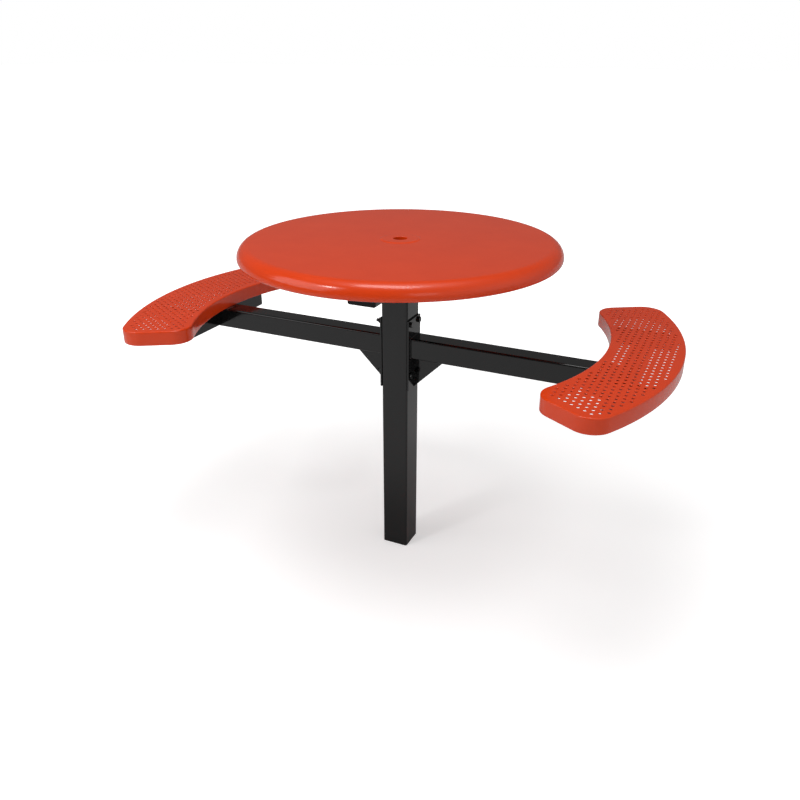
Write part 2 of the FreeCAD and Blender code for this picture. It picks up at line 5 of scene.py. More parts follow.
import bpy
import numpy as np
from mathutils import Matrix, Vector
from mathutils.geometry import delaunay_2d_cdt


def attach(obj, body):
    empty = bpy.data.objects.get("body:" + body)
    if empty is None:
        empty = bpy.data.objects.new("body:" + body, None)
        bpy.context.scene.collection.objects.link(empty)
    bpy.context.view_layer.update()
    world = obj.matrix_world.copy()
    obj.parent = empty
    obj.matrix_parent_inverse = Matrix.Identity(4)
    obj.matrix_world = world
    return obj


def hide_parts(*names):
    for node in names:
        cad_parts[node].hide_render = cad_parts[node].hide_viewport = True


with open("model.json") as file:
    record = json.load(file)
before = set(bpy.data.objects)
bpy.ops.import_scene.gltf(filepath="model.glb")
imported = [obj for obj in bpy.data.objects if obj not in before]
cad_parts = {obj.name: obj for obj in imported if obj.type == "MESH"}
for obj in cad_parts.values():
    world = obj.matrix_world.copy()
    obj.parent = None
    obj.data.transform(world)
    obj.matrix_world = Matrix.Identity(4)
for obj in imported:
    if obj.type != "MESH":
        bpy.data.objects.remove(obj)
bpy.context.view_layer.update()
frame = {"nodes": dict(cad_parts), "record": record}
nodes = frame["nodes"]

MM = 0.001

# All sizes are in millimetres, and heights are measured from the post's buried end.
# Table top: a sheet with a rolled rim, a raised boss and a collar round the umbrella hole.
TABLE_TOP_Z = 1282.2
TOP_RADIUS = 581.4
TOP_SHEET = 3.4
TOP_SEGMENTS = 256
RIM_DEPTH = 56.0
RIM_RADIUS = 44.45
BOSS_RADIUS = 66.0
BOSS_HEIGHT = 2.6
BOSS_SLOPE = 10.0
BOSS_STEPS = 10
BOSS_MARGIN = 6.0
HOLE_RADIUS = 25.4
HOLE_EDGE = 2.2
HOLE_MARGIN = 5.0
COLLAR_DEPTH = 25.4
COLLAR_FILLET = 4.0
# Radii of further rings in the sheet's flat parts, which keep them flat to look at.
RINGS_UNDER = (400.0, 200.0, 60.0)
RINGS_ABOVE = (150.0, 350.0, 525.0)

# Seats: a curved sheet with a turned-down skirt.
SEAT_Z = 980.7
SEAT_OUTER_RADIUS = 1017.35
SEAT_INNER_RADIUS = 767.5
SEAT_OUTER_CHORD = 1134.4
SEAT_INNER_CHORD = 879.2
SEAT_CORNER_RADIUS = 72.0
SEAT_SHEET = 4.0
SEAT_SKIRT = 53.0
SKIRT_RINGS = (-18.0, -34.0)
SEAT_EDGE_RADIUS = 4.6
SEAT_INNER_BEND = 6.1
SEAT_FLAT_FROM = SEAT_EDGE_RADIUS + 3
OUTLINE_STEP = 7.0
OUTLINE_MERGE = 0.5

# Openings of the seats, in staggered columns that follow the seat's length.
PERFORATION_RADIUS = 5.4
PERFORATION_LIP = 1.8
PERFORATION_RIM = 0.6
PERFORATION_PITCH = 25.4
PERFORATION_COLUMN = 21.95
PERFORATION_START = 828.0
PERFORATION_START_LEFT = 817.0
PERFORATION_MARGIN = 20.5
PERFORATION_COLUMNS = range(-12, 14)
PERFORATION_ROWS = range(-26, 27)
HOLE_SEGMENTS = 18
HOLE_TURNS = [2 * math.pi * at / HOLE_SEGMENTS for at in range(HOLE_SEGMENTS)]
MEETING_TOLERANCE = 1e-5

# Post, beam, arms and cross-members.
POST_SIDE = 106.0
TUBE_CORNER = 7.4
ARM_SIDE = 80.2
ARM_TOP = 922.7
ARM_REACH = 817.2
CROSS_WIDTH = 63.5
CROSS_LENGTH = 546.1
BEAM_LENGTH = 609.6
PLATE_X = 59.35
PLATE_LOW = 715.7
GUSSET_LEG = 129.4
GUSSET_THICKNESS = 6.35
PAD_Y = 228.6
PAD_WIDTH = 50.8
PAD_THICKNESS = 6.35
CHANNEL_WALL = 3.2
BRACKET_Y = 254.0
BRACKET_WIDTH = 25.4
BRACKET_WALL = 3.2
BAR_THICKNESS = 4.8

# End caps. The face's steps are (depth below the face, inset from the edge).
CAP_THICKNESS = 3.2
CAP_ROUND = 1.6
CAP_RISE = 1.35
CAP_FOOT = ((0.0, 0.3), (0.25, 0.0), (CAP_THICKNESS - CAP_ROUND, 0.0))
CAP_FACE = ((0.2, 2.4), (0.08, 7.0), (0.0, 14.0))
SMALLEST_ROUND = 0.8

# Bolts and nuts.
BOLT_Y = 35.5
BOLT_ROWS = (976.6, 773.4)
BOLT_RADIUS = 6.35
BOLT_ACROSS = 19.05
BOLT_HEAD = 8.0
BOLT_NUT = 11.1
BOLT_END = 9.5
BOLT_PLAY = 0.05
PAD_BOLT_X = 76.2
SEAT_BOLT_X = 69.85
SEAT_BOLT_ACROSS = 14.3
SEAT_BOLT_HEAD = 6.2
SEAT_BOLT_RADIUS = 4.75
SEAT_BOLT_SEGMENTS = 24
HEXAGON_SEGMENTS = 48
# Radii of a head's round faces, as shares of half its width across the flats.
BEARING_SHARE = 0.96
CHAMFER_SHARE = 0.93
CROWN_SHARE = 0.90
WASHER_FACE = 0.5
TOP_CHAMFER = 1.6
LOW_CHAMFER = 1.3
SHANK_SEGMENTS = 28
THREAD_PITCH = 1.95
THREAD_DEPTH = 0.55
THREAD_STEPS = 7
THREAD_STOP = 1.2
FLANGE_THREAD_LEAD = 6
TOP_THREAD_LEAD = 4
END_STEP = 0.3
END_TAPER = 1.1

# Weld beads.
WELD_SPACING = 1.1
WELD_FULLNESS = 0.9
WELD_SUNK = -0.6
WELD_HOLLOW = 0.22
WELD_RIPPLE = 0.22
WELD_RIPPLE_LENGTH = 2.6
WELD_DRIFT = 0.06
WELD_DRIFT_KEPT = 0.9
WELD_TIP = 0.25
WELD_TAPER = 4.0
TUBE_WELD = 2.2
CROSS_WELD = 2.4
PLATE_WELD = 2.6
CROSS_WELD_DROP = 0.3
PAD_WELD_REACH = 44
GUSSET_WELD_GAP = 6
GUSSET_WELD_END = 5
BRACKET_WELD_END = 7
BRACKET_EDGE_GAP = 3

RIM_Z = TABLE_TOP_Z - RIM_DEPTH
BEAM_Z = RIM_Z - POST_SIDE
ARM_LOW = ARM_TOP - ARM_SIDE
BAR_Z = SEAT_Z - SEAT_SHEET - BAR_THICKNESS
SEAT_MIDDLE = (math.sqrt(SEAT_INNER_RADIUS ** 2 - BRACKET_Y ** 2)
               + math.sqrt(SEAT_OUTER_RADIUS ** 2 - BRACKET_Y ** 2)) / 2
SEAT_BOLT_Y = BRACKET_Y + BRACKET_WALL / 2

SIDES = (-1, 1)
# Corners of a rectangle: the signs of its two directions and the angle where the round starts.
CORNERS = ((1, 1, 0), (-1, 1, 90), (-1, -1, 180), (1, -1, 270))

scene = bpy.context.scene
dice = random.Random(7)


# Mesh helpers

def new_object(name, vertices, faces, smooth=True):
    mesh = bpy.data.meshes.new(name)
    mesh.from_pydata([tuple(v) for v in vertices], [], faces)
    mesh.validate()
    mesh.update()
    if smooth:
        mesh.polygons.foreach_set("use_smooth", [True] * len(mesh.polygons))
    thing = bpy.data.objects.new(name, mesh)
    scene.collection.objects.link(thing)
    return thing


def arc_points(centre, radius, first, last, steps):
    """Points along an arc in a section, angles in degrees."""
    points = []
    for step in range(steps + 1):
        angle = math.radians(first + (last - first) * step / steps)
        points.append((centre[0] + radius * math.cos(angle),
                       centre[1] + radius * math.sin(angle)))
    return points


def bands(start, rings, count, closed=False, reverse=False):
    """Four-sided faces between rings of count vertices that follow on from index start."""
    faces = []
    for ring in range(rings if closed else rings - 1):
        low = start + ring * count
        high = start + (ring + 1) % rings * count
        for at in range(count):
            beside = (at + 1) % count
            face = (low + at, low + beside, high + beside, high + at)
            faces.append((face[0], face[3], face[2], face[1]) if reverse else face)
    return faces


def tube_faces(rings, count, closed=False):
    """Faces round a row of rings; its two ends are filled unless it closes on itself."""
    faces = bands(0, rings, count, closed)
    if not closed:
        faces.append(tuple(reversed(range(count))))
        faces.append(tuple(range((rings - 1) * count, rings * count)))
    return faces


def revolve(name, profile, segments):
    """A closed profile of (radius, height) turned round the Z axis."""
    vertices = []
    for radius, height in profile:
        for at in range(segments):
            angle = 2 * math.pi * at / segments
            vertices.append((radius * math.cos(angle) * MM, radius * math.sin(angle) * MM,
                             height * MM))
    return new_object(name, vertices, bands(0, len(profile), segments, True, True))


class Builder:
    """Gathers several closed forms into one mesh."""

    def __init__(self):
        self.vertices = []
        self.faces = []

    def add(self, vertices, faces, place=None):
        start = len(self.vertices)
        for vertex in vertices:
            point = Vector(vertex)
            self.vertices.append((place @ point if place else point) * MM)
        self.faces += [tuple(start + index for index in face) for face in faces]

    def lathe(self, rings, place):
        """Rings of points, each (x, y, z), closed at both ends by a face."""
        vertices = [point for ring in rings for point in ring]
        self.add(vertices, tube_faces(len(rings), len(rings[0])), place)

    def make(self, name, smooth=True):
        return new_object(name, self.vertices, self.faces, smooth)


def add_bevel(thing, width):
    bevel = thing.modifiers.new("edges", "BEVEL")
    bevel.width = width * MM
    bevel.segments = 2
    bevel.limit_method = "ANGLE"
    bevel.angle_limit = math.radians(40)


# Materials

def node_material(name):
    material = bpy.data.materials.new(name)
    material.use_nodes = True
    tree = material.node_tree
    return material, tree, tree.nodes["Principled BSDF"]


def add_noise(tree, scale, detail=2.0, roughness=0.5):
    place = tree.nodes.new("ShaderNodeTexCoord")
    noise = tree.nodes.new("ShaderNodeTexNoise")
    noise.inputs["Scale"].default_value = scale
    noise.inputs["Detail"].default_value = detail
    noise.inputs["Roughness"].default_value = roughness
    tree.links.new(place.outputs["Object"], noise.inputs["Vector"])
    return noise.outputs["Fac"]


def add_ramp(tree, source, low, high):
    """Values or colours spread over the middle of a noise's range."""
    ramp = tree.nodes.new("ShaderNodeValToRGB")
    for stop, position, value in zip(ramp.color_ramp.elements, (0.3, 0.7), (low, high)):
        stop.position = position
        stop.color = (*value, 1) if isinstance(value, tuple) else (value, value, value, 1)
    tree.links.new(source, ramp.inputs["Fac"])
    return ramp.outputs["Color"]


def add_bumps(tree, shader, layers):
    """Bumps one over another, each (height, strength, distance)."""
    normal = None
    for source, strength, distance in layers:
        bump = tree.nodes.new("ShaderNodeBump")
        bump.inputs["Strength"].default_value = strength
        bump.inputs["Distance"].default_value = distance
        tree.links.new(source, bump.inputs["Height"])
        if normal:
            tree.links.new(normal, bump.inputs["Normal"])
        normal = bump.outputs["Normal"]
    tree.links.new(normal, shader.inputs["Normal"])


def coating_material(name, colours, roughness, pebble, wave, specular):
    """A coat: nearly even colour, cloudy gloss, fine pebbles and a slow wave.

    Colours and roughness are the two ends of a range; pebble and wave are
    (noise scale, bump strength, bump distance in metres).
    """
    material, tree, shader = node_material(name)
    cloud = add_noise(tree, scale=7.0, detail=4.0, roughness=0.6)
    tree.links.new(add_ramp(tree, cloud, *colours), shader.inputs["Base Color"])
    patches = add_noise(tree, scale=38.0, detail=4.0, roughness=0.6)
    tree.links.new(add_ramp(tree, patches, *roughness), shader.inputs["Roughness"])
    add_bumps(tree, shader, [(add_noise(tree, scale), strength, distance)
                             for scale, strength, distance in (wave, pebble)])
    shader.inputs["Specular IOR Level"].default_value = specular
    return material


red_coating = coating_material(
    "red_coating", ((0.700, 0.047, 0.0030), (0.740, 0.052, 0.0038)), (0.160, 0.200),
    pebble=(420.0, 0.010, 0.0002), wave=(30.0, 0.006, 0.0010), specular=0.42)
black_coat = coating_material(
    "black_powder_coat", ((0.0022, 0.0022, 0.0023), (0.0036, 0.0036, 0.0037)), (0.10, 0.15),
    pebble=(900.0, 0.02, 0.0001), wave=(60.0, 0.006, 0.0004), specular=0.40)
cap_plastic = coating_material(
    "black_cap_plastic", ((0.0010, 0.0010, 0.0011), (0.0020, 0.0020, 0.0021)), (0.42, 0.55),
    pebble=(1400.0, 0.12, 0.0001), wave=(90.0, 0.03, 0.0004), specular=0.24)
bolt_coat = coating_material(
    "black_bolt_coat", ((0.0030, 0.0030, 0.0031), (0.0060, 0.0060, 0.0062)), (0.20, 0.34),
    pebble=(1600.0, 0.10, 0.0001), wave=(200.0, 0.05, 0.0003), specular=0.5)
weld_coat = coating_material(
    "black_weld_coat", ((0.0026, 0.0026, 0.0027), (0.0045, 0.0045, 0.0046)), (0.16, 0.26),
    pebble=(900.0, 0.10, 0.0002), wave=(220.0, 0.08, 0.0006), specular=0.45)


def paint(thing, material):
    thing.data.materials.clear()
    thing.data.materials.append(material)


def dress(thing, material, *replaced, slot):
    """A new piece of the object: its material, its body and the nodes it stands for."""
    paint(thing, material)
    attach(thing, "root")
    if replaced:
        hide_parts(*replaced)


# Table top

def build_table_top():
    """One turned sheet: rim, underside, collar, boss and upper side, all round its section."""
    bend = (TOP_RADIUS - RIM_RADIUS, TABLE_TOP_Z - RIM_RADIUS)
    lip_radius = RIM_DEPTH - RIM_RADIUS
    lip = (TOP_RADIUS - lip_radius, RIM_Z + lip_radius)
    profile = arc_points(bend, RIM_RADIUS, 90, 0, steps=24)
    profile += arc_points(lip, lip_radius, 0, -90, steps=10)[1:]
    profile += arc_points(lip, lip_radius - TOP_SHEET, -90, 0, steps=8)
    profile += arc_points(bend, RIM_RADIUS - TOP_SHEET, 0, 90, steps=16)[1:]

    under = TABLE_TOP_Z - TOP_SHEET
    outer = HOLE_RADIUS + TOP_SHEET
    half = TOP_SHEET / 2
    low = under - COLLAR_DEPTH
    profile += [(radius, under) for radius in RINGS_UNDER]
    profile += arc_points((outer + COLLAR_FILLET, under - COLLAR_FILLET), COLLAR_FILLET,
                          90, 180, steps=5)
    profile += arc_points((outer - half, low + half), half, 0, -180, steps=8)

    boss_z = TABLE_TOP_Z + BOSS_HEIGHT
    profile += arc_points((HOLE_RADIUS + HOLE_EDGE, boss_z - HOLE_EDGE), HOLE_EDGE,
                          180, 90, steps=6)
    profile += [(HOLE_RADIUS + HOLE_MARGIN, boss_z), (BOSS_RADIUS - BOSS_MARGIN, boss_z)]
    for step in range(BOSS_STEPS + 1):
        part = step / BOSS_STEPS
        drop = BOSS_HEIGHT * (1 - math.cos(math.pi * part)) / 2
        profile.append((BOSS_RADIUS + BOSS_SLOPE * part, boss_z - drop))
    profile += [(radius, TABLE_TOP_Z)
                for radius in (BOSS_RADIUS + BOSS_SLOPE + BOSS_MARGIN, *RINGS_ABOVE)]
    top = revolve("coated_table_top", profile, TOP_SEGMENTS)
    dress(top, red_coating, "table_top", slot="coating")


# Seats

def seat_outline(step):
    """Points round the seat's plan with their inward normals, counter-clockwise."""
    outer, inner = SEAT_OUTER_RADIUS, SEAT_INNER_RADIUS
    outer_half = math.asin(SEAT_OUTER_CHORD / 2 / outer)
    inner_half = math.asin(SEAT_INNER_CHORD / 2 / inner)
    outer_corner = outer * np.array([math.cos(outer_half), math.sin(outer_half)])
    inner_corner = inner * np.array([math.cos(inner_half), math.sin(inner_half)])
    along = inner_corner - outer_corner
    end_length = np.linalg.norm(along)
    along /= end_length
    inward = np.array([-along[1], along[0]])
    r = SEAT_CORNER_RADIUS

    def corner_centre(wanted, near):
        """Centre of the round between an arc edge and the straight end."""
        base = outer_corner + inward * r
        b = base @ along
        c = base @ base - wanted ** 2
        root = math.sqrt(b * b - c)
        best = min((-b + root, -b - root), key=lambda t: abs(t - near))
        return base + along * best

    outer_centre = corner_centre(outer - r, 0)
    inner_centre = corner_centre(inner + r, end_length)
    outer_angle = math.atan2(outer_centre[1], outer_centre[0])
    inner_angle = math.atan2(inner_centre[1], inner_centre[0])
    end_angle = math.atan2(-inward[1], -inward[0])
    middle = np.zeros(2)
    points = []

    def add_arc(centre, radius, first, last, sign=1):
        count = max(2, int(abs(last - first) * radius / step))
        for at in range(count):
            angle = first + (last - first) * at / count
            ray = np.array([math.cos(angle), math.sin(angle)])
            points.append((centre + radius * ray, -sign * ray))

    # Half of the outline, from the middle of the outer edge to that of the inner one.
    add_arc(middle, outer, 0, outer_angle)
    add_arc(outer_centre, r, outer_angle, end_angle)
    start = outer_centre - inward * r
    finish = inner_centre - inward * r
    count = max(2, int(np.linalg.norm(finish - start) / step))
    for at in range(count):
        points.append((start + (finish - start) * at / count, inward))
    add_arc(inner_centre, r, end_angle, inner_angle + math.pi)
    add_arc(middle, inner, inner_angle, 0, sign=-1)
    points.append((np.array([inner, 0.0]), np.array([1.0, 0.0])))

    mirror = np.array([1, -1])
    loop = []
    for place, normal in points + [(p * mirror, n * mirror) for p, n in reversed(points)]:
        if not loop or np.linalg.norm(place - loop[-1][0]) > OUTLINE_MERGE:
            loop.append((place, normal))
    if np.linalg.norm(loop[0][0] - loop[-1][0]) < OUTLINE_MERGE:
        loop.pop()
    return loop


def inside_distance(places, ring):
    """Distance from each place to the outline, negative outside."""
    best = np.full(len(places), np.inf)
    crossings = np.zeros(len(places), int)
    for a, b in zip(ring, np.roll(ring, -1, axis=0)):
        e = b - a
        t = np.clip(((places - a) @ e) / (e @ e), 0, 1)
        near = a + t[:, None] * e
        best = np.minimum(best, np.linalg.norm(places - near, axis=1))
        if e[1]:
            spans = (a[1] > places[:, 1]) != (b[1] > places[:, 1])
            x = a[0] + (places[:, 1] - a[1]) * e[0] / e[1]
            crossings += spans & (places[:, 0] < x)
    return np.where(crossings % 2 == 1, best, -best)


def perforation(ring, start):
    """Centres of the staggered round openings."""
    places = []
    for column in PERFORATION_COLUMNS:
        shift = 0.5 if column % 2 else 0.0
        for row in PERFORATION_ROWS:
            places.append((start + column * PERFORATION_COLUMN,
                           (row + shift) * PERFORATION_PITCH))
    places = np.array(places)
    return places[inside_distance(places, ring) >= PERFORATION_MARGIN]


def edge_section():
    """Section round the seat's edge: (offset inwards, height)."""
    e, t, bend = SEAT_EDGE_RADIUS, SEAT_SHEET, SEAT_INNER_BEND
    section = [(SEAT_FLAT_FROM, 0.0)]
    section += arc_points((e, -e), e, 90, 180, steps=7)
    section += [(0.0, height) for height in SKIRT_RINGS]
    section += arc_points((t / 2, t / 2 - SEAT_SKIRT), t / 2, 180, 360, steps=8)
    section += [(t, height) for height in reversed(SKIRT_RINGS)]
    section += arc_points((bend, -bend), bend - t, 180, 90, steps=4)
    return section + [(SEAT_FLAT_FROM, -t)]


def opening_section():
    """Section of one opening with its rolled lips: (radius, height)."""
    r, lip, t = PERFORATION_RADIUS, PERFORATION_LIP, SEAT_SHEET
    reach = r + lip + PERFORATION_RIM
    section = [(reach, 0.0)]
    for angles, middle, up in (((90, 65, 40, 20, 0), -lip, 1), ((0, 30, 60, 90), lip - t, -1)):
        for a in map(math.radians, angles):
            section.append((r + lip - lip * math.cos(a), middle + up * lip * math.sin(a)))
    return section + [(reach, -t)]


def flat_triangles(rim, centres, reach):
    """Triangles of the flat sheet between its rim and a circle round each opening.

    Their numbers count the rim's points first and then those of the circles.
    """
    count = len(rim)
    points = [Vector(p) for p in rim]
    edges = [(at, (at + 1) % count) for at in range(count)]
    for cx, cy in centres:
        base = len(points)
        points += [Vector((cx + reach * math.cos(a), cy + reach * math.sin(a)))
                   for a in HOLE_TURNS]
        edges += [(base + at, base + (at + 1) % HOLE_SEGMENTS) for at in range(HOLE_SEGMENTS)]
    _, _, triangles, sources, _, _ = delaunay_2d_cdt(points, edges, [], 1, MEETING_TOLERANCE)
    kept = []
    for triangle in triangles:
        a, b, c = (sources[index][0] for index in triangle)
        owners = {(corner - count) // HOLE_SEGMENTS for corner in (a, b, c)}
        if min(a, b, c) >= count and len(owners) == 1:
            continue
        if (points[b] - points[a]).cross(points[c] - points[a]) < 0:
            a, c = c, a
        kept.append((a, b, c))
    return kept


def build_seat(name, side, node, start):
    loop = seat_outline(OUTLINE_STEP)
    count = len(loop)
    ring = np.array([p for p, _ in loop])
    inward = np.array([n for _, n in loop])
    centres = perforation(ring, start)

    section = edge_section()
    vertices = [(x * MM, y * MM, height * MM)
                for offset, height in section for x, y in ring + inward * offset]
    faces = bands(0, len(section), count, reverse=True)

    # The flat sheet's points on top and underneath: its rim, then a ring round each opening.
    top_index = list(range(count))
    under_index = list(range(len(vertices) - count, len(vertices)))
    opening = opening_section()
    for cx, cy in centres:
        base = len(vertices)
        vertices += [((cx + radius * math.cos(a)) * MM, (cy + radius * math.sin(a)) * MM,
                      height * MM) for radius, height in opening for a in HOLE_TURNS]
        faces += bands(base, len(opening), HOLE_SEGMENTS)
        top_index += range(base, base + HOLE_SEGMENTS)
        under_index += range(len(vertices) - HOLE_SEGMENTS, len(vertices))

    for a, b, c in flat_triangles(ring + inward * SEAT_FLAT_FROM, centres, opening[0][0]):
        faces.append((top_index[a], top_index[b], top_index[c]))
        faces.append((under_index[c], under_index[b], under_index[a]))
    seat = new_object(name, vertices, faces)
    turn = Matrix.Rotation(0 if side > 0 else math.pi, 4, "Z")
    seat.data.transform(Matrix.Translation((0, 0, SEAT_Z * MM)) @ turn)
    dress(seat, red_coating, node, slot="coating")


# Fasteners, each built along +Z from the face it bears on

def circle_ring(radius, z, count=HEXAGON_SEGMENTS):
    ring = []
    for at in range(count):
        angle = 2 * math.pi * at / count
        ring.append((radius * math.cos(angle), radius * math.sin(angle), z))
    return ring


def hexagon_ring(across, z, limit=math.inf):
    """A hexagon's outline, cut back to a circle where limit is smaller."""
    ring = []
    for at in range(HEXAGON_SEGMENTS):
        angle = 2 * math.pi * at / HEXAGON_SEGMENTS
        within = (angle + math.pi / 6) % (math.pi / 3) - math.pi / 6
        reach = min(across / 2 / math.cos(within), limit)
        ring.append((reach * math.cos(angle), reach * math.sin(angle), z))
    return ring


def add_hexagon(builder, across, height, place, both_ends=False):
    """A chamfered hexagon with a washer face where it bears."""
    corner = across / math.sqrt(3)
    face = across / 2
    bearing = face * BEARING_SHARE
    rings = [circle_ring(bearing, 0), circle_ring(bearing, WASHER_FACE)]
    if both_ends:
        for part in (1 / 3, 2 / 3, 1):
            rings.append(hexagon_ring(across, WASHER_FACE + part * LOW_CHAMFER,
                                      bearing + (corner - bearing) * part))
    else:
        rings.append(hexagon_ring(across, WASHER_FACE))
    for part in (0, 0.25, 0.5, 0.75, 1):
        rings.append(hexagon_ring(across, height - TOP_CHAMFER + part * TOP_CHAMFER,
                                  corner + (face * CHAMFER_SHARE - corner) * part))
    rings.append(circle_ring(face * CROWN_SHARE, height))
    builder.lathe(rings, place)


def add_threaded_shank(builder, length, place, thread_from):
    """A bolt's shank with a true helical thread and a chamfered end."""
    radius = BOLT_RADIUS - BOLT_PLAY
    rings = [circle_ring(radius, 0, SHANK_SEGMENTS)]
    z = thread_from
    while z < length - THREAD_STOP:
        ring = []
        for at in range(SHANK_SEGMENTS):
            angle = 2 * math.pi * at / SHANK_SEGMENTS
            phase = (z / THREAD_PITCH - at / SHANK_SEGMENTS) % 1.0
            reach = radius - THREAD_DEPTH * (1 - abs(2 * phase - 1))
            ring.append((reach * math.cos(angle), reach * math.sin(angle), z))
        rings.append(ring)
        z += THREAD_PITCH / THREAD_STEPS
    for left in (1.0, 0.5, 0.0):
        rings.append(circle_ring(radius - END_STEP - END_TAPER * (1 - left), length - left,
                                 SHANK_SEGMENTS))
    builder.lathe(rings, place)


def turned(place, axis, spin=0.0):
    """Places a fastener whose own +Z points along an axis."""
    aim = Vector(axis).to_track_quat("Z", "Y").to_matrix().to_4x4()
    return Matrix.Translation(place) @ aim @ Matrix.Rotation(spin, 4, "Z")


def any_spin():
    return dice.uniform(0, math.pi / 3)


def add_bolt(bolts, nuts, place, axis, grip, thread_lead):
    """A head at a place, a shank along the axis and a nut behind what it grips."""
    back = [-part for part in axis]
    far = [at + grip * part for at, part in zip(place, axis)]
    length = grip + BOLT_NUT + BOLT_END
    add_hexagon(bolts, BOLT_ACROSS, BOLT_HEAD, turned(place, back, any_spin()))
    add_threaded_shank(bolts, length, turned(place, axis), grip - thread_lead)
    add_hexagon(nuts, BOLT_ACROSS, BOLT_NUT, turned(far, axis, any_spin()), both_ends=True)


def build_fasteners():
    bolts, nuts = Builder(), Builder()
    for z in BOLT_ROWS:
        for y in (-BOLT_Y, BOLT_Y):
            add_bolt(bolts, nuts, (PLATE_X, y, z), (-1, 0, 0), 2 * PLATE_X,
                     FLANGE_THREAD_LEAD)
    dress(bolts.make("hex_flange_bolts", False), bolt_coat, "flange_bolts", slot="fasteners")
    dress(nuts.make("hex_flange_nuts", False), bolt_coat, "flange_nuts", slot="fasteners")

    bolts, nuts = Builder(), Builder()
    for x in (-PAD_BOLT_X, PAD_BOLT_X):
        for y in (-PAD_Y, PAD_Y):
            add_bolt(bolts, nuts, (x, y, RIM_Z), (0, 0, 1), PAD_THICKNESS + CHANNEL_WALL,
                     TOP_THREAD_LEAD)
    dress(bolts.make("hex_top_bolts", False), bolt_coat, "top_bolts", slot="fasteners")
    dress(nuts.make("hex_top_nuts", False), bolt_coat, "top_nuts", slot="fasteners")

    bolts = Builder()
    radius = SEAT_BOLT_RADIUS - BOLT_PLAY
    for side in SIDES:
        for end in SIDES:
            for shift in (-SEAT_BOLT_X, SEAT_BOLT_X):
                place = (side * SEAT_MIDDLE + shift, end * SEAT_BOLT_Y, BAR_Z - BRACKET_WALL)
                add_hexagon(bolts, SEAT_BOLT_ACROSS, SEAT_BOLT_HEAD,
                            turned(place, (0, 0, -1), any_spin()))
                bolts.lathe([circle_ring(radius, z, SEAT_BOLT_SEGMENTS)
                             for z in (0, BRACKET_WALL + BAR_THICKNESS)],
                            Matrix.Translation(place))
    dress(bolts.make("hex_seat_bolts", False), bolt_coat, "seat_bolts", slot="fasteners")


# End caps

def rounded_ring(width, height, depth, inset):
    """A rounded rectangle in X and Z at a depth along Y, drawn in by inset."""
    radius = max(TUBE_CORNER - inset, SMALLEST_ROUND)
    ring = []
    for cx, cz, start in CORNERS:
        middle = (cx * (width / 2 - inset - radius), cz * (height / 2 - inset - radius))
        for x, z in arc_points(middle, radius, start, start + 90, steps=8):
            ring.append((x, depth, z))
    return ring


def build_caps():
    section = list(CAP_FOOT)
    for angle in map(math.radians, (25, 50, 75)):
        section.append((CAP_THICKNESS - CAP_ROUND + CAP_RISE * math.sin(angle),
                        CAP_ROUND * (1 - math.cos(angle))))
    section += [(CAP_THICKNESS - below, inset) for below, inset in CAP_FACE]
    for name, node, width, height, ends in (
            ("beam_end_plugs", "beam_end_caps", POST_SIDE, POST_SIDE,
             [(0, end * BEAM_LENGTH / 2, BEAM_Z + POST_SIDE / 2) for end in SIDES]),
            ("cross_member_plugs", "cross_member_caps", CROSS_WIDTH, ARM_SIDE,
             [(side * (ARM_REACH + CROSS_WIDTH / 2), end * CROSS_LENGTH / 2,
               ARM_TOP - ARM_SIDE / 2) for side in SIDES for end in SIDES])):
        rings = [rounded_ring(width, height, depth, inset)[::-1] for depth, inset in section]
        builder = Builder()
        for place in ends:
            turn = Matrix.Rotation(0 if place[1] > 0 else math.pi, 4, "Z")
            builder.lathe(rings, Matrix.Translation(place) @ turn)
        dress(builder.make(name), cap_plastic, node, slot="caps")


# Weld beads

def weld_section():
    """A bead's slightly hollow face, as shares of its size along its two directions."""
    section = []
    for a in map(math.radians, (0, 22, 45, 68, 90)):
        swell = 1.0 - WELD_HOLLOW * math.sin(2 * a)
        section.append((math.cos(a) * swell, math.sin(a) * swell))
    return section


def add_weld(builder, path, outward, size, closed=False):
    """A rippled bead along a path; outward gives each point's two face directions."""
    places = [Vector(p) for p in path]
    legs = [(Vector(a).normalized(), Vector(b).normalized()) for a, b in outward]
    spots = []
    for at in range(len(places) if closed else len(places) - 1):
        after = (at + 1) % len(places)
        start, stop = places[at], places[after]
        count = max(1, round((stop - start).length / WELD_SPACING))
        for step in range(count):
            part = step / count
            ways = [a.lerp(b, part).normalized() for a, b in zip(legs[at], legs[after])]
            spots.append((start.lerp(stop, part), *ways))
    if not closed:
        spots.append((places[-1], *legs[-1]))

    section = weld_section()
    vertices = []
    travelled = drift = 0.0
    for at, (point, first, second) in enumerate(spots):
        if at:
            travelled += (point - spots[at - 1][0]).length
        drift = WELD_DRIFT_KEPT * drift + dice.uniform(-WELD_DRIFT, WELD_DRIFT)
        ripple = WELD_RIPPLE * abs(math.sin(math.pi * travelled / WELD_RIPPLE_LENGTH))
        reach = size * (WELD_FULLNESS + drift / 2) + ripple
        if not closed:
            from_end = min(at, len(spots) - 1 - at) * WELD_SPACING
            reach *= min(1.0, WELD_TIP + from_end / WELD_TAPER)
        vertices.append(point + first * WELD_SUNK + second * WELD_SUNK)
        vertices += [point + first * (reach * a) + second * (reach * b) for a, b in section]

    faces = tube_faces(len(spots), len(section) + 1, closed)
    point, first, second = spots[0]
    if (spots[1][0] - point).dot(first.cross(second)) <= 0:
        faces = [face[::-1] for face in faces]
    builder.add(vertices, faces)


def straight_weld(builder, start, stop, first, second, size):
    add_weld(builder, [start, stop], [(first, second)] * 2, size)


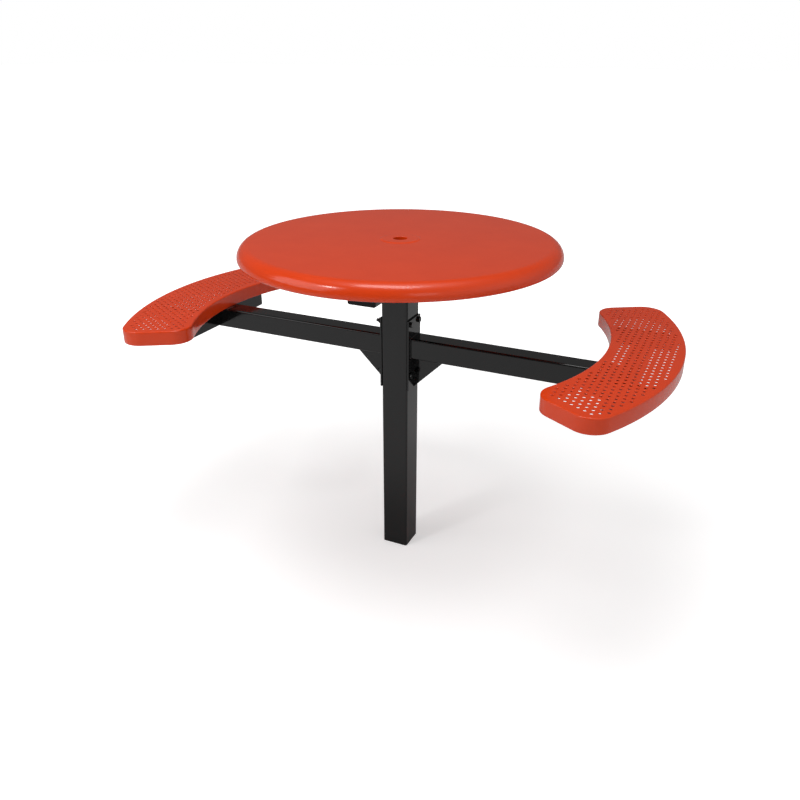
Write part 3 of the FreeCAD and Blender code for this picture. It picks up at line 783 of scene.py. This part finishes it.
def square_weld(builder, centre, axis, width, across, up, size):
    """A bead round a square tube where it meets a face."""
    centre, axis, across, up = Vector(centre), Vector(axis), Vector(across), Vector(up)
    reach = width / 2 - TUBE_CORNER
    path, outward = [], []
    for cx, cz, start in CORNERS:
        for angle in map(math.radians, range(start, start + 91, 15)):
            ray = across * math.cos(angle) + up * math.sin(angle)
            middle = across * (cx * reach) + up * (cz * reach)
            path.append(centre + middle + ray * TUBE_CORNER)
            outward.append((ray, axis))
    add_weld(builder, path, outward, size, closed=True)


def build_welds():
    welds = Builder()
    for side in SIDES:
        out = (side, 0, 0)
        square_weld(welds, (side * PLATE_X, 0, ARM_TOP - ARM_SIDE / 2), out,
                    ARM_SIDE, (0, 1, 0), (0, 0, 1), TUBE_WELD)
        x, y = side * ARM_REACH, ARM_SIDE / 2 - TUBE_CORNER
        for height, up in ((ARM_TOP, 1), (ARM_LOW, -1)):
            z = height - up * CROSS_WELD_DROP
            straight_weld(welds, (x, -y, z), (x, y, z), (-side, 0, 0), (0, 0, up), CROSS_WELD)
        x, y = side * PLATE_X, GUSSET_THICKNESS / 2
        straight_weld(welds, (x, y, PLATE_LOW + GUSSET_WELD_END),
                      (x, y, ARM_LOW - GUSSET_WELD_GAP), (0, 1, 0), out, PLATE_WELD)
        straight_weld(welds, (side * (PLATE_X + GUSSET_WELD_GAP), y, ARM_LOW),
                      (side * (PLATE_X + GUSSET_LEG - GUSSET_WELD_END), y, ARM_LOW),
                      (0, 1, 0), (0, 0, -1), PLATE_WELD)
    dress(welds.make("arm_and_gusset_welds"), weld_coat, slot="frame")

    welds = Builder()
    square_weld(welds, (0, 0, BEAM_Z), (0, 0, -1), POST_SIDE, (1, 0, 0), (0, 1, 0), PLATE_WELD)
    for end in SIDES:
        for face in SIDES:
            y = end * PAD_Y + face * PAD_WIDTH / 2
            straight_weld(welds, (-PAD_WELD_REACH, y, RIM_Z), (PAD_WELD_REACH, y, RIM_Z),
                          (0, face, 0), (0, 0, 1), PLATE_WELD)
    dress(welds.make("post_and_pad_welds"), weld_coat, slot="frame")

    welds = Builder()
    for side in SIDES:
        low = side * (ARM_REACH + BRACKET_WELD_END)
        high = side * (ARM_REACH + CROSS_WIDTH - BRACKET_WELD_END)
        for end in SIDES:
            for face in SIDES:
                y = end * BRACKET_Y + face * BRACKET_WIDTH / 2
                if abs(y) <= CROSS_LENGTH / 2 - BRACKET_EDGE_GAP:
                    straight_weld(welds, (low, y, ARM_TOP), (high, y, ARM_TOP),
                                  (0, face, 0), (0, 0, 1), TUBE_WELD)
    dress(welds.make("seat_bracket_welds"), weld_coat, slot="frame")


build_table_top()
build_seat("right_seat_pan", 1, "right_seat", PERFORATION_START)
build_seat("left_seat_pan", -1, "left_seat", PERFORATION_START_LEFT)
build_fasteners()
build_caps()
build_welds()

COATS = {"frame": black_coat, "caps": cap_plastic, "fasteners": bolt_coat,
         "coating": red_coating}
# Bevel widths of the CAD's own pieces, by the end of their names.
EDGES = {"flange_plate": 0.9, "gusset": 0.9, "mounting_pad": 0.8, "stiffener": 0.6,
         "bracket": 0.6, "seat_bar": 0.6}
for part in frame["record"]["subparts"]:
    node = nodes[part["node"]]
    paint(node, COATS[part["material_slot"]])
    for ending, width in EDGES.items():
        if part["node"].endswith(ending):
            add_bevel(node, width)


# Stage, light and camera, in metres, watts and degrees

FLOOR_COLOUR = 0.80
FLOOR_MOTTLE = 0.004
FLOOR_REACH = 60
# The floor's own glow for the camera, and how it rises between two distances from the post.
FLOOR_GLOW = 0.43
FLOOR_RISE = 0.50
FLOOR_INNER = 0.9
FLOOR_OUTER = 3.6
BACKDROP = 1.0
DOME_BASE = 0.165
# The dome's brighter parts: direction, how narrow, strength.
DOME_LOBES = [
    ((0.0, 0.0, 1.0), 14.0, 2.1),
    ((1.0, 0.0, 0.2), 3.0, 0.66),
]
# Lamps: name, place, target, width, length and power.
LAMPS = [
    ("overhead_lamp", (0.05, -0.95, 5.3), (0.05, -0.7, 1.2), 2.0, 1.5, 52.0),
    ("key_lamp", (-1.78, -3.15, 4.4), (0.0, -0.5, 1.2), 0.5, 0.5, 26.0),
    ("broad_lamp", (-2.9, -2.95, 3.3), (0.0, -0.2, 0.8), 3.6, 2.8, 64.0),
    ("front_lamp", (3.0, -3.6, 2.95), (0.1, -0.3, 1.1), 1.4, 1.4, 8.0),
]
CAMERA_PLACE = (1.16216, -2.49082, 1.92532)
CAMERA_DOWN = 24.99
CAMERA_TURN = 25.03
SENSOR_MM = 36.0
LENS_MM = 34.66


def add_math(tree, operation, first, second):
    """A Math node over two sockets or numbers."""
    node = tree.nodes.new("ShaderNodeMath")
    node.operation = operation
    for place, value in enumerate((first, second)):
        if isinstance(value, (int, float)):
            node.inputs[place].default_value = value
        else:
            tree.links.new(value, node.inputs[place])
    return node.outputs["Value"]


def seen_directly(tree):
    """One where a ray comes straight from the camera or through something clear."""
    path = tree.nodes.new("ShaderNodeLightPath")
    return add_math(tree, "MAXIMUM", path.outputs["Is Camera Ray"],
                    path.outputs["Is Transmission Ray"])


def build_stage():
    """A pale floor that whitens outwards for the camera and keeps the object's shadow."""
    material, tree, shader = node_material("studio_floor")
    shade = add_ramp(tree, add_noise(tree, scale=0.8),
                     FLOOR_COLOUR - FLOOR_MOTTLE, FLOOR_COLOUR + FLOOR_MOTTLE)
    tree.links.new(shade, shader.inputs["Base Color"])
    shader.inputs["Roughness"].default_value = 0.9
    shader.inputs["Specular IOR Level"].default_value = 0.0
    shader.inputs["Emission Color"].default_value = (1, 1, 1, 1)

    place = tree.nodes.new("ShaderNodeTexCoord")
    distance = tree.nodes.new("ShaderNodeVectorMath")
    distance.operation = "LENGTH"
    tree.links.new(place.outputs["Object"], distance.inputs[0])
    spread = tree.nodes.new("ShaderNodeMapRange")
    spread.interpolation_type = "SMOOTHSTEP"
    spread.inputs["From Min"].default_value = FLOOR_INNER
    spread.inputs["From Max"].default_value = FLOOR_OUTER
    spread.inputs["To Min"].default_value = FLOOR_GLOW
    spread.inputs["To Max"].default_value = FLOOR_GLOW + FLOOR_RISE
    tree.links.new(distance.outputs["Value"], spread.inputs["Value"])
    glow = add_math(tree, "MULTIPLY", seen_directly(tree), spread.outputs["Result"])
    tree.links.new(glow, shader.inputs["Emission Strength"])

    r = FLOOR_REACH
    floor = new_object("studio_floor", [(-r, -r, 0), (r, -r, 0), (r, r, 0), (-r, r, 0)],
                       [(0, 1, 2, 3)])
    paint(floor, material)


def add_lamp(name, place, target, width, length, power):
    data = bpy.data.lights.new(name, "AREA")
    data.energy = power
    data.shape = "RECTANGLE"
    data.size = width
    data.size_y = length
    lamp = bpy.data.objects.new(name, data)
    lamp.location = place
    lamp.rotation_euler = (Vector(target) - Vector(place)).to_track_quat("-Z", "Y").to_euler()
    scene.collection.objects.link(lamp)


def build_world():
    """White to the camera; round the object a soft dome of a few broad bright parts."""
    world = bpy.data.worlds.new("studio_world")
    scene.world = world
    world.use_nodes = True
    tree = world.node_tree
    background = tree.nodes["Background"]
    where = tree.nodes.new("ShaderNodeTexCoord")
    dome = DOME_BASE
    for direction, narrow, strength in DOME_LOBES:
        dot = tree.nodes.new("ShaderNodeVectorMath")
        dot.operation = "DOT_PRODUCT"
        dot.inputs[1].default_value = Vector(direction).normalized()
        tree.links.new(where.outputs["Generated"], dot.inputs[0])
        facing = add_math(tree, "MAXIMUM", dot.outputs["Value"], 0.0)
        lobe = add_math(tree, "MULTIPLY", add_math(tree, "POWER", facing, narrow), strength)
        dome = add_math(tree, "ADD", lobe, dome)
    seen = seen_directly(tree)
    unseen = add_math(tree, "SUBTRACT", 1.0, seen)
    total = add_math(tree, "ADD", add_math(tree, "MULTIPLY", dome, unseen),
                     add_math(tree, "MULTIPLY", seen, BACKDROP))
    background.inputs["Color"].default_value = (1, 1, 1, 1)
    tree.links.new(total, background.inputs["Strength"])


build_stage()
build_world()
for lamp in LAMPS:
    add_lamp(*lamp)

camera_data = bpy.data.cameras.new("camera")
camera_data.sensor_width = SENSOR_MM
camera_data.lens = LENS_MM
camera = bpy.data.objects.new("camera", camera_data)
camera.location = CAMERA_PLACE
camera.rotation_euler = (math.radians(90 - CAMERA_DOWN), 0, math.radians(CAMERA_TURN))
scene.collection.objects.link(camera)
scene.camera = camera
scene.view_settings.view_transform = "Standard"
